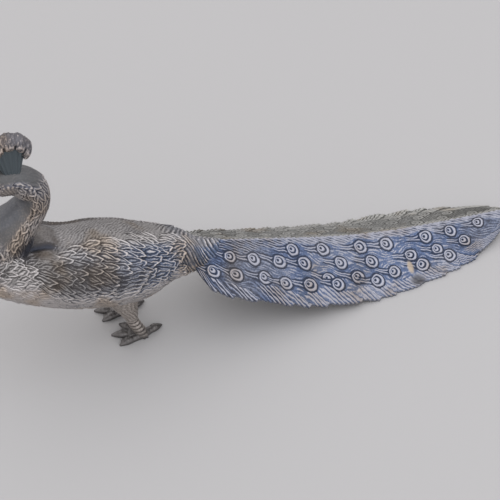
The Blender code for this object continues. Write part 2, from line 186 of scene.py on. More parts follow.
def gridPiece(name, material, points, *looks):
    # a grid laid over rows and columns of points, both ends capped
    caps = [points[k:k + 1].mean(axis=1, keepdims=True).repeat(points.shape[1], 1)
            for k in (0, len(points) - 1)]
    points = np.concatenate([caps[0], points, caps[1]]) + np.array((feetX, 0, 0))
    rows, columns = points.shape[:2]
    bpy.ops.mesh.primitive_grid_add(x_subdivisions=columns - 1, y_subdivisions=rows - 1, size=1,
                                    calc_uvs=False)
    piece = bpy.context.active_object
    piece.name = name
    mesh = piece.data
    mesh.vertices.foreach_set("co", np.ascontiguousarray(points, np.float32).reshape(-1))
    for label, value in zip(lookNames, looks):
        value = np.zeros((rows - 2, columns)) + value
        value = np.concatenate([value[:1], value, value[-1:]])
        layer = mesh.attributes.new(label, "FLOAT", "POINT")
        layer.data.foreach_set("value", np.ascontiguousarray(value, np.float32).reshape(-1))
    mesh.update()
    bpy.ops.object.mode_set(mode="EDIT")
    bpy.ops.mesh.select_all(action="SELECT")
    bpy.ops.mesh.remove_doubles(threshold=0.000004)
    bpy.ops.mesh.normals_make_consistent(inside=False)
    bpy.ops.object.mode_set(mode="OBJECT")
    bpy.ops.object.shade_smooth_by_angle(angle=math.radians(78))
    mesh.materials.append(material)
    return piece


def wear(piece):
    # every piece is part of the one casting
    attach(piece, "root")
    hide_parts("peacock")
    print(piece.name, len(piece.data.polygons) * 2, "triangles")


# Feathers carved on a skin. Each is a leaf of nested strands, its tip over the next one's root

def carveFeather(skin, spot, size, turn, lift, line, bend):
    height, tone, along, across, rowPlace = skin
    length, width = size
    first, last = np.searchsorted(rowPlace, (spot[0] - length, spot[0] + length))
    if last - first < 2:
        return
    part = slice(first, last)
    da, db = along[part] - spot[0], across[part] - spot[1]
    a = (da * math.cos(turn) + db * math.sin(turn)) / length + 0.5
    b = (-da * math.sin(turn) + db * math.cos(turn)) / (width / 2)
    b = b + bend * (4 * (a - 0.5) ** 2 - 0.6)
    t = np.clip(a, 0, 1)
    leaf = 2.32 * t ** 0.5 * (1 - t) ** 0.75
    edge = (leaf - np.abs(b)) * width / 2
    inside = (a > 0) & (a < 1) & (edge > 0)
    if not inside.any():
        return
    a, b, edge = a[inside], b[inside], edge[inside]
    plate = lift * (0.05 + 0.95 * a) * (1 - 0.25 * b * b)
    strands = wave((edge - 0.0004) / 0.0016)
    strands = bolder(strands, 0.75) * (0.68 + 0.32 * np.exp(-edge / 0.0012))
    root = 1 - softStep(a, 0.0, 0.35)
    height[part][inside] = plate + line * strands
    tone[part][inside] = 0.2 * root - 0.13 * strands + 0.38 * bell(edge, 0, 0.00021)


# Settings of the train, in metres and shares
trainSettings = {
    "start": 0.03,        # behind the feet
    "length": 0.19,
    "halfWidth": 0.0322,
    "slope": 33.0,          # degrees, each side of the ridge
    "ridgeHeight": 0.0525,
    "thickness": 0.0052,
    "rim": 0.0013,
    "rows": 660,
    "columns": 128,         # down each slope
    "eyeRadius": 0.0035,
    "eyeRelief": 0.00052,
    "barbPitch": 0.00132,
    "barbRelief": 0.00016,
    "fringePitch": 0.0026,
    "fringeRelief": 0.00031,
    "fringeBand": 0.0088,
    "tipPitch": 0.0134,     # feather ends along the lower edge
    "tipDepth": 0.0014,
    "tipRelief": 0.0006,
    "spineRelief": 0.00026,
    "streakPitch": 0.0034,  # by the ridge on the left side
    "strokePitch": 0.0025,  # on the plainer right side
    "damage": (0.1538, 0.0238),  # worn spot on the left side: place along, way down
    "spot": ((0, -0.0012), (0.0019, 0.004)),  # off that place, and how large
    "smear": ((0.002, 0.0072), (0.0046, 0.0044)),
}
# rows of feather eyes from the ridge down: share of the slope at first and last, and each place
eyeRows = (
    (0.17, 0.23, (0.311, 0.403, 0.521, 0.602, 0.729, 0.809, 0.903)),
    (0.29, 0.51, (0.117, 0.186, 0.261, 0.334, 0.445, 0.541, 0.665, 0.751, 0.842)),
    (0.58, 0.67, (0.057, 0.121, 0.203, 0.393, 0.484, 0.599, 0.691, 0.782)),
    (0.67, 0.72, (0.261, 0.332, 0.417, 0.540)),
)
trainWidth = smoothTable((
    (0.000, 0.30), (0.018, 0.52), (0.045, 0.74), (0.105, 0.845), (0.220, 0.930),
    (0.330, 1.000), (0.530, 0.985), (0.660, 0.920), (0.790, 0.790), (0.860, 0.665),
    (0.915, 0.500), (0.960, 0.330), (0.985, 0.190), (1.000, 0.000),
))
trainRidge = smoothTable((
    (0.00, 1.000, 1.00), (0.10, 0.890, 1.02), (0.25, 0.715, 1.06), (0.40, 0.540, 1.03),
    (0.53, 0.415, 1.00), (0.66, 0.325, 0.94), (0.79, 0.268, 0.88), (0.92, 0.222, 0.82),
    (1.00, 0.195, 0.78),
))
notchPlace = (-0.0545, 0.0105, 0.0875)
notchSize = (0.0062, 0.0042, 0.0052)


def notchShade(points):
    # how deep a place lies in the dark notch between the neck and the cushion
    place = (points[..., 0], np.abs(points[..., 1]), points[..., 2])
    x, y, z = ((at - middle) / size for at, middle, size in zip(place, notchPlace, notchSize))
    return np.exp(-x ** 2 - y ** 2 - z ** 2)


def blot(x, down, place, size):
    # a soft-edged patch
    return np.exp(-(((x - place[0]) / size[0]) ** 2 + ((down - place[1]) / size[1]) ** 2) ** 2)


def trainTop(x, y):
    t = trainSettings
    share = (x - t["start"]) / t["length"]
    fall = np.tan(np.radians(t["slope"] * trainRidge(share, 1)))
    return np.maximum(trainRidge(share) * t["ridgeHeight"] - np.abs(y) * fall, t["rim"])


def trainEyes():
    # place along, way down the slope, radius and turn of each feather eye
    t = trainSettings
    eyes = []
    for first, last, places in eyeRows:
        for k, place in enumerate(places):
            half = float(trainWidth(place)) * t["halfWidth"]
            slope = half / math.cos(math.radians(t["slope"]))
            down = slope * (first + (last - first) * k / (len(places) - 1))
            radius = t["eyeRadius"] * (0.7 + 0.3 * half / t["halfWidth"])
            turn = math.radians((22 - 24 * place) * (0.4 + down / slope))
            eyes.append((t["start"] + t["length"] * place, down, radius, turn))
    return eyes


def carveEyes(x, down, uneven, relief):
    # height, tone and free ground of the feather eyes and of the double stem before each
    height, tone, ground = np.zeros_like(x), np.zeros_like(x), np.ones_like(x)
    for k, (ex, es, radius, turn) in enumerate(trainEyes()):
        radius *= 1 + 0.06 * uneven[k]
        turn += math.radians(7) * uneven[k + 40]
        da, db = x - ex, down - es
        a = (da * math.cos(turn) + db * math.sin(turn)) / radius
        b = (-da * math.sin(turn) + db * math.cos(turn)) / radius
        near = (np.abs(b) < 1.9) & (a > -3.8) & (a < 1.8)
        a, b = a[near], b[near]

        def disc(shift, size):
            return softStep(size - np.hypot(a + shift, b + 0.3 * shift), -0.07, 0.07)

        whole, hollow = disc(0, 1.0), disc(0.1, 0.66)
        crescent, pupil = disc(0.2, 0.49), disc(0.34, 0.2)
        r = np.hypot(a, b)
        worn = 0.86 + 0.24 * uneven[k + 120]  # some eyes are rubbed flatter than others
        raised = (whole * (1 - hollow) + crescent * (1 - pupil)) * worn
        sunk = (hollow * (1 - crescent) + 0.8 * pupil) * worn
        moat = bell(r, 1.13, 0.09)
        # the stem runs in from the body's side and opens round the eye
        run = softStep(a, -3.7 + 0.5 * uneven[k + 80], -2.6) * (1 - softStep(a, -1.05, -0.85))
        bow = 0.055 * (a + 1) ** 2
        spread = 0.15 + 0.34 * np.exp((np.minimum(a, -0.9) + 0.9) * 2.4)
        off = np.abs(b + bow)
        bar = bell(off, spread, 0.12) * run
        edge = (bell(off - spread, 0.26, 0.11) + 0.8 * bell(off, 0, 0.6 * spread)) * run
        cover = np.clip(softStep(1.22 - r, 0, 0.12) + bar + edge, 0, 1)
        carved = raised + 0.3 * whole - 0.35 * sunk - 0.45 * moat + 0.55 * bar - 0.4 * edge
        height[near] = height[near] * (1 - cover) + relief * carved
        tone[near] = (tone[near] * (1 - cover) - 0.22 * raised + 0.34 * sunk + 0.42 * moat
                      - 0.1 * bar + 0.18 * edge)
        ground[near] = np.minimum(ground[near], 1 - cover)
    return height, tone, ground


def streamPast(x, down):
    # streaks of the webs part round each eye, as water does round stones
    flow = down - 0.3 * (x - 0.03) * (1 - 0.5 * softStep(x, 0.1, 0.2))
    for ex, es, radius, _ in trainEyes():
        apart = (x - ex) ** 2 + (down - es) ** 2
        flow = flow - 1.25 * radius ** 2 * (down - es) / np.maximum(apart, (0.9 * radius) ** 2)
    return flow


def tipShare(x):
    # how far along its own feather end a place lies, 0 to 1
    return np.modf((x - 0.004) / trainSettings["tipPitch"] + 0.5 + 0.25 * np.sin(x * 140))[0]


def trainSide(side, name, material):
    # one slope of the train with its underside, closed along the ridge
    t = trainSettings
    rows, columns = t["rows"], t["columns"]
    uneven = scatter(200, 11 if side < 0 else 23)
    u = np.linspace(0, 1, rows) ** 0.97
    u[-1] = 0.9995
    x = t["start"] + t["length"] * u
    half = trainWidth(u) * t["halfWidth"]
    toSlope = 1 / math.cos(math.radians(t["slope"]))
    # pointed feather ends and their barbs notch the lower edge
    ends = tipShare(x)
    notch = np.where(ends < 0.8, (0.8 - ends) / 0.8, (ends - 0.8) / 0.2) ** 1.6
    teeth = 0.5 - 0.5 * wave(x / t["fringePitch"])
    edge = half - (t["tipDepth"] * notch + 0.0004 * teeth) * softStep(half, 0.004, 0.02)
    v = np.linspace(0, 1, columns)
    y = edge[:, None] * v[None, :]
    X = np.repeat(x[:, None], columns, 1)
    down = y * toSlope
    below = edge[:, None] * toSlope - down  # way left to the lower edge

    sway = ripple(X * 190, down * 230, 1.0)
    fleck = ripple(X * 1100, down * 1500, 2.0)
    pitted = ripple(X * 4300, down * 5300, 8.0)
    dash = softStep(ripple(X * 640, down * 1500, 4.0) + 0.6 * fleck, -0.6, 0.3)
    nearTip = softStep(X, 0.15, 0.215)
    nearRump = 1 - softStep(X, 0.05, 0.105)
    handX, handDown = handDrawn(X, down, 0.00034, 6.0 + side)
    # broad streaks by the ridge, short dashes round the eyes, a coarse fringe below
    byRidge = wave((handX - handDown * 2.3) / t["streakPitch"] + 0.3 * sway)
    byRidge = bolder(byRidge, 0.7) * (0.3 + 0.7 * dash)
    middle = wave(streamPast(handX, handDown) / t["barbPitch"] + 0.22 * sway) * (0.1 + 0.9 * dash)
    if side > 0:
        # plainer: short strokes that run out and back from the ridge
        middle = wave((handX - handDown * 1.25) / t["strokePitch"] + 0.25 * sway) * (0.3 + 1.0 * dash)
        byRidge = middle
    lean = 0.85 + 1.5 * nearTip
    run = handX + below * lean
    fringe = wave(run / t["fringePitch"] + 650 * np.maximum(run - 0.14, 0) ** 2 + 0.15 * sway) + 0.22
    fringe = bolder(fringe, 0.6)
    band = t["fringeBand"] * (0.55 + 0.45 * softStep(half, 0.01, 0.028))[:, None]
    band = band * (1 + 0.22 * np.sin(X * 2 * np.pi / (2.3 * t["tipPitch"])) + 0.12 * sway)
    inFringe = 1 - softStep(below, band * 0.72, band)
    wide = 0.005 * (1 - softStep(X, 0.046, 0.092))
    inRidge = (1 - softStep(down + 0.0018 * sway - wide, 0.0024, 0.0046)) * (1 - inFringe)
    inMiddle = np.clip(1 - inFringe - inRidge, 0, 1)
    lap = tipShare(X + below * lean)
    bundle = softStep(lap, 0.1, 0.4) * (1 - softStep(lap, 0.9, 1.0))
    fringe = fringe * (0.2 + 0.8 * bundle) * (1 - 0.45 * nearTip)
    barbs = (t["barbRelief"] * (1.9 * byRidge * inRidge + middle * inMiddle)
             + t["fringeRelief"] * fringe * inFringe
             + t["tipRelief"] * (lap ** 0.8 - 0.5) * inFringe)

    plain = 1.0 if side < 0 else 0.42  # the side away from view is carved lower
    eyePlaces = handDrawn(X, down, 0.00029, 9.0)
    height, tone, ground = carveEyes(*eyePlaces, uneven, t["eyeRelief"] * plain)
    webTone = ((0.07 + 0.17 * nearTip + 0.13 * nearRump) * inMiddle
               - (0.32 - 0.32 * nearRump - 0.21 * nearTip) * inFringe
               - (0.26 - 0.33 * nearRump) * inRidge
               - 0.16 * dash * inMiddle * plain + 0.07 * (fleck + pitted) * inMiddle
               + 0.1 * (1 - bundle) * inFringe)
    tone = tone * plain * (1 - 0.2 * nearTip) + ground * webTone
    height = height + barbs * ground
    height += t["spineRelief"] * bell(down, 0, 0.0007)
    tone -= 0.22 * bell(down, 0, 0.0008)
    stainAndPaintedShade = np.zeros_like(X)
    if side < 0:
        offX, offDown = X - t["damage"][0], down - t["damage"][1]
        spot, smear = (blot(offX, offDown, *t[key]) for key in ("spot", "smear"))
        height = height * (1 - 0.75 * np.maximum(spot, smear)) + 0.0005 * spot
        stainAndPaintedShade = 0.75 * np.clip(smear - spot, 0, 1) - 0.8 * spot
    height *= softStep(u, 0.0, 0.02)[:, None]
    crevice = np.clip(creviceOf(height, 4, 0.0008) + tone, 0, 1)

    top = np.stack([X, side * y, trainTop(X, y)], axis=2)
    normal = skinNormals(top, False)
    normal *= np.sign(normal[..., 2:3])
    normal[:, 0] = (0, 0, 1)
    normal[:, :, 1] *= np.minimum(v * columns / 3, 1)
    top = top + normal * height[..., None]
    top[..., 2] = np.maximum(top[..., 2], 0.0006)
    top[:, 0, 1] = 0.0
    top[..., 1] = np.clip(top[..., 1], -t["halfWidth"], t["halfWidth"])

    # underside, from the rim back in to the middle
    inward = np.array((1.0, 0.97, 0.85, 0.65, 0.45, 0.22, 0.0))
    yLow = edge[:, None] * inward[None, :]
    out = np.minimum(yLow / np.maximum(half[:, None], 1e-4), 1)
    taper = np.minimum(half / (0.6 * t["halfWidth"]), 1)[:, None]
    deep = t["rim"] + (t["thickness"] - t["rim"]) * taper
    deep = deep + (t["rim"] - deep) * out ** 1.3
    xLow = np.repeat(x[:, None], len(inward), 1)
    low = np.stack([xLow, side * yLow, np.maximum(trainTop(xLow, yLow) - deep, 0.0)], axis=2)
    under = np.full(xLow.shape, 0.6)
    # blue tint: blue tarnish, and a painted sky reflection that is full on the left side toward the
    # camera and faint on the far side
    blueTarnishAndPaintedLight = 0.92 + 0.22 * nearTip - 0.45 * inRidge * (1 - nearRump)
    blueTarnishAndPaintedLight = np.clip(blueTarnishAndPaintedLight, 0, 1) * (1.0 if side < 0 else 0.1)
    looks = ring(crevice, under), ring(stainAndPaintedShade, under * 0), ring(blueTarnishAndPaintedLight, under * 0.5)
    wear(gridPiece(name, material, ring(top, low), *looks))


# Settings of the body
bodySettings = {
    "length": 0.14,
    "depth": 0.049,
    "width": 0.0465,
    "hipHeight": 0.0505,
    "breastReach": 0.09,
    "wingLift": 0.0014,
    "shoulderLift": 0.0012,
    "collarLift": 0.0026,
    "notchDepth": 0.0036,
    "slitDepth": 0.0016,
    "rows": 430,
    "columns": 210,         # on each side
    "hatchRelief": 0.00019,
    "hatchPitch": 0.00207,
    "strokeRelief": 0.00036,
    "strokePitch": 0.00235,
    "feathered": (0.0225, -0.09),  # first and last row, metres behind the feet
    "quills": 6,
    "quillSize": (0.019, 0.0036),
    "quillLift": 0.00075,
    "featherSize": (0.0104, 0.0043),
    "featherStep": (0.0055, 0.0037),
    "featherLift": 0.00062,
    "featherLine": 0.00026,
}
# share from the breast back, rise in body depths, depth and width
bodyProfile = smoothTable((
    (0.00, 0.570, 0.000, 0.00), (0.02, 0.575, 0.340, 0.33), (0.06, 0.545, 0.560, 0.56),
    (0.12, 0.485, 0.720, 0.77), (0.20, 0.390, 0.830, 0.92), (0.30, 0.260, 0.885, 0.97),
    (0.40, 0.125, 0.900, 0.94), (0.52, 0.052, 0.940, 0.98), (0.62, -0.011, 0.907, 0.93),
    (0.70, -0.050, 0.775, 0.82), (0.78, -0.045, 0.585, 0.66), (0.86, -0.100, 0.460, 0.55),
    (0.92, -0.135, 0.350, 0.46), (0.97, -0.152, 0.190, 0.28), (1.00, -0.157, 0.000, 0.00),
))
# share from the breast back, upper and lower edge of the wing in degrees from the spine
wingEdges = smoothTable((
    (0.26, 75.0, 78.0), (0.29, 62.0, 92.0), (0.34, 52.0, 100.0), (0.44, 44.0, 106.0),
    (0.56, 42.0, 106.0), (0.68, 46.0, 98.0), (0.76, 56.0, 88.0), (0.82, 68.0, 76.0),
))
# where the hatched back gives way to feathers, metres from the spine, on the left and right
backEdges = smoothTable((
    (-0.050, 0.0080, 0.0210), (-0.030, 0.0066, 0.0235), (-0.010, 0.0042, 0.0235),
    (0.004, 0.0018, 0.0210), (0.014, 0.0002, 0.0150), (0.050, 0.0, 0.0),
))


def plumage(side, X, around, rowPlace, girths):
    # the carving of one side of the body, from the rump forward and the spine down
    b = bodySettings
    X, around = handDrawn(X, around, 0.0005, 3.0 + side)
    bend = ripple(X * 240, around * 300, 3.0 + side)
    fleck = ripple(X * 1300, around * 1700, 5.0)
    # short strokes that run on over the spine the same way
    lean = side * around * 0.95
    hatch = wave((X - lean) / b["hatchPitch"] + 0.35 * bend + 0.15 * fleck)
    dash = wave((X + lean) / 0.0052 + 0.45 * wave((X - lean) / 0.0041) + bend)
    hatch = hatch * (0.45 + 0.55 * softStep(dash, -0.7, 0.2))
    stroke = wave((X - around * 0.5) / b["strokePitch"] + 0.45 * bend)
    stroke = stroke * (0.45 + 0.55 * softStep(ripple(X * 600, around * 500, 7.0), -0.5, 0.3))
    onRump = softStep(X, 0.01, 0.022)
    height = b["hatchRelief"] * hatch * (1 - onRump) + b["strokeRelief"] * stroke * onRump
    tone = np.zeros_like(height)

    jitter = [scatter(1500, 1 + k + (0 if side < 0 else 10)) for k in range(4)]
    n = k = 0
    place, last = b["feathered"]
    while place > last:
        breast = float(softStep(-place, 0.046, 0.064))
        stepA = b["featherStep"][0] * (1 - 0.36 * breast)
        stepB = b["featherStep"][1] * (1 - 0.12 * breast)
        reach = float(np.interp(place, rowPlace, girths))
        spot = float(backEdges(place, int(side > 0))) * (1 - breast)
        spot += stepB * (0.9 if k % 2 else 0.4)
        while spot < reach:
            low = spot / reach
            wing = float(softStep(low, 0.12, 0.24) * (1 - softStep(low, 0.52, 0.62))) * (1 - breast)
            rear = float(softStep(place, -0.02, 0.0))
            grow = 1 + 0.14 * wing - 0.34 * breast - 0.22 * float(softStep(low, 0.6, 0.7))
            size = (b["featherSize"][0] * grow * (1 + 0.18 * jitter[0][n]),
                    b["featherSize"][1] * (1 + 0.1 * wing - 0.1 * breast + 0.14 * jitter[1][n]))
            tilt = (8 + 14 * math.sin(low * 9 + place * 70)
                    + (15 + 18 * breast) * jitter[2][n] - 14 * wing * rear)
            wander = 0.0022 * math.sin(spot * 250 + k * 1.7)
            carveFeather((height, tone, X, around, rowPlace),
                         (place + wander + 0.0013 * jitter[3][n], spot + 0.0009 * jitter[1][n]),
                         size, math.radians(tilt), b["featherLift"] * (0.8 + 0.4 * wing),
                         b["featherLine"], 0.3 * jitter[2][n] + 0.25 * wing)
            spot += stepB
            n += 1
        place -= stepA
        k += 1
    # long quills end the folded wing
    length, width = b["quillSize"]
    for q in range(b["quills"]):
        carveFeather((height, tone, X, around, rowPlace),
                     (-0.0035 - 0.0012 * q, 0.0245 + 0.0024 * q), (length - 0.0008 * q, width),
                     math.radians(-14 - 1.5 * q), b["quillLift"], b["featherLine"] * 1.2, 0.55)
    return height, tone


def makeBody(material):
    b = bodySettings
    rows, half = b["rows"], b["columns"]
    even = np.linspace(0, 1, rows)
    share = 0.55 * even + 0.45 * (1 - np.cos(np.pi * even)) / 2
    side = np.linspace(0, 1, half)
    side = 0.78 * side + 0.22 * side ** 3
    turn = np.pi * np.concatenate([side, 2 - side[-2::-1]])
    columns = len(turn)
    rise, depth, width = (bodyProfile(share, k)[:, None] for k in range(3))
    S = np.repeat(share[:, None], columns, 1)
    T = np.repeat(turn[None, :], rows, 0)
    degrees = degreesDown(T)
    rowPlace = share * b["length"] - b["breastReach"]
    X = np.repeat(rowPlace[:, None], columns, 1)
    skin = np.stack([
        X,
        -np.sin(T) * width * b["width"] / 2,
        b["hipHeight"] + rise * b["depth"] + np.cos(T) * depth * b["depth"] / 2,
    ], axis=2)
    upper = wingEdges(np.clip(share, 0.26, 0.82))[:, None]
    lower = wingEdges(np.clip(share, 0.26, 0.82), 1)[:, None]
    onWing = softStep(degrees, upper, upper + 7) * (1 - softStep(degrees, lower - 7, lower))
    onWing = onWing * ((S > 0.26) & (S < 0.82))
    front = softStep(S, 0.26, 0.29) * (1 - softStep(S, 0.36, 0.46))
    cushion = np.exp(-((S - 0.33) / 0.034) ** 2 - (degrees / 25) ** 4)
    fold = np.exp(-((S - 0.264) / 0.03) ** 2 - ((degrees - 30) / 14) ** 2)
    slit = np.exp(-((S - 0.294) / 0.056) ** 4 - ((degrees - 20) / 4.0) ** 2)
    form = (onWing * (b["wingLift"] + b["shoulderLift"] * front)
            + b["collarLift"] * cushion - b["notchDepth"] * fold - b["slitDepth"] * slit)

    around = metresDown(skin)
    middle = half - 1
    girths = around[:, middle]
    left = plumage(-1, X[:, :half], around[:, :half], rowPlace, girths)
    right = plumage(1, X[:, middle:], around[:, middle:], rowPlace, girths)
    height, tone = (np.concatenate([a, b[:, 1:]], axis=1) for a, b in zip(left, right))
    height[:, 0] = height[:, -1] = (left[0][:, 0] + right[0][:, -1]) / 2
    height[:, middle] = (left[0][:, -1] + right[0][:, 0]) / 2

    # the cushion behind the neck and the hollow beside it are smooth
    bare = np.exp(-((S - 0.312) / 0.046) ** 4 - (degrees / 44) ** 4)
    height = height * (1 - 0.9 * bare)
    height *= softStep(even, 0.0, 0.02)[:, None]
    crevice = creviceOf(height, 4, 0.0011, True) + tone * (1 - bare) + 0.02
    hollow = np.exp(-((S - 0.305) / 0.04) ** 2 - ((degrees - 30) / 9) ** 2)
    behind = np.exp(-((S - 0.362) / 0.018) ** 2 - ((degrees - 9) / 9) ** 2)
    # brown on the smooth cushion, darker in the hollow beside it, and painted shade behind the cushion
    stainAndPaintedShade = np.clip(0.38 * bare + 0.5 * hollow + 0.45 * behind, 0, 1) * (1 - slit)
    hatched = (around < np.where(T < np.pi, backEdges(X), backEdges(X, 1))) & (X < 0.03)
    onFlank = softStep(S, 0.24, 0.32) * (1 - softStep(S, 0.46, 0.6)) * softStep(degrees, 34, 46)
    crevice = crevice + 0.25 * onFlank * (1 - softStep(degrees, 66, 92))
    crevice = crevice - 0.26 * (1 - softStep(S, 0.22, 0.34)) * softStep(degrees, 62, 84)
    under = softStep(degrees, 76, 98)
    crevice = crevice + 0.05 * softStep(S, 0.28, 0.4) * softStep(degrees, 30, 44)
    # the slit under the cushion is darkened as a painted shadow line under the cushion, and made blue
    # below
    crevice = crevice * (1 + 0.15 * under) - 0.49 * under + 0.9 * slit
    crevice = np.clip(crevice + 0.06 * hatched, 0, 1)
    # blue tint: blue tarnish on the wing and rump, and a painted sky reflection, full on the left side
    # toward the camera and only low down on the right
    blueTarnishAndPaintedLight = softStep(S, 0.32, 0.74) * softStep(degrees, 14, 34) * (1 - 0.1 * softStep(degrees, 95, 120))
    blueTarnishAndPaintedLight = blueTarnishAndPaintedLight * np.where(T < np.pi, 1, softStep(degrees, 62, 84))
    blueTarnishAndPaintedLight = 0.1 + 0.85 * blueTarnishAndPaintedLight + 0.3 * softStep(S, 0.76, 0.84) + 0.7 * slit
    blueTarnishAndPaintedLight = blueTarnishAndPaintedLight + 0.22 * softStep(degrees, 70, 96) * (1 - softStep(S, 0.36, 0.5))

    points = carvedSkin(skin, form + height)
    shade = notchShade(points)
    crevice = np.clip(crevice + 0.8 * shade, 0, 1)
    blueTarnishAndPaintedLight = np.clip(blueTarnishAndPaintedLight + shade, 0, 1)
    # the rump lies down on the train and ends in a tongue
    rumpX = points[..., 0]
    laid = trainTop(rumpX, points[..., 1]) + 0.001 + height
    edgeOff = np.abs(np.sin(T)) ** 6
    hug = softStep(rumpX, 0.029, 0.041) * (1 - softStep(degrees, 88, 118))
    points[..., 2] += hug * (laid - 0.0016 * edgeOff - points[..., 2])
    closeSeam(points, crevice, blueTarnishAndPaintedLight)
    for name, part in (("bodyLeft", slice(0, half)), ("bodyRight", slice(middle, columns))):
        grids = [ring(grid[:, part]) for grid in (points, crevice, stainAndPaintedShade, blueTarnishAndPaintedLight)]
        wear(gridPiece(name, material, *grids))


# Settings of the neck and head
neckSettings = {
    "height": 0.127,
    "radius": 0.0079,
    "beak": 0.0105,
    "rows": 300,
    "columns": 190,
    "scale": (0.0086, 0.0041),
    "scaleLift": 0.00058,
    "scaleLine": 0.00027,
}
# place along and height in neck heights, depth and width in neck radii
neckPath = (
    (-0.530, 0.560, 2.30, 2.35), (-0.520, 0.665, 1.92, 1.84), (-0.474, 0.742, 1.62, 1.58),
    (-0.423, 0.798, 1.27, 1.22), (-0.384, 0.848, 1.08, 1.06), (-0.371, 0.900, 1.00, 1.00),
    (-0.387, 0.952, 0.98, 0.98), (-0.426, 0.988, 0.97, 0.95), (-0.474, 0.998, 0.97, 0.93),
    (-0.512, 0.996, 0.90, 0.84), (-0.540, 0.984, 0.66, 0.60), (-0.560, 0.972, 0.40, 0.34),
)
headRow = 8
# the beak goes on from the last row, in its own lengths, with the thickness left
beakPath = ((-0.55, -0.262625, 0.72), (-0.88, -0.4928, 0.4), (-1.0, -0.66, 0.02))


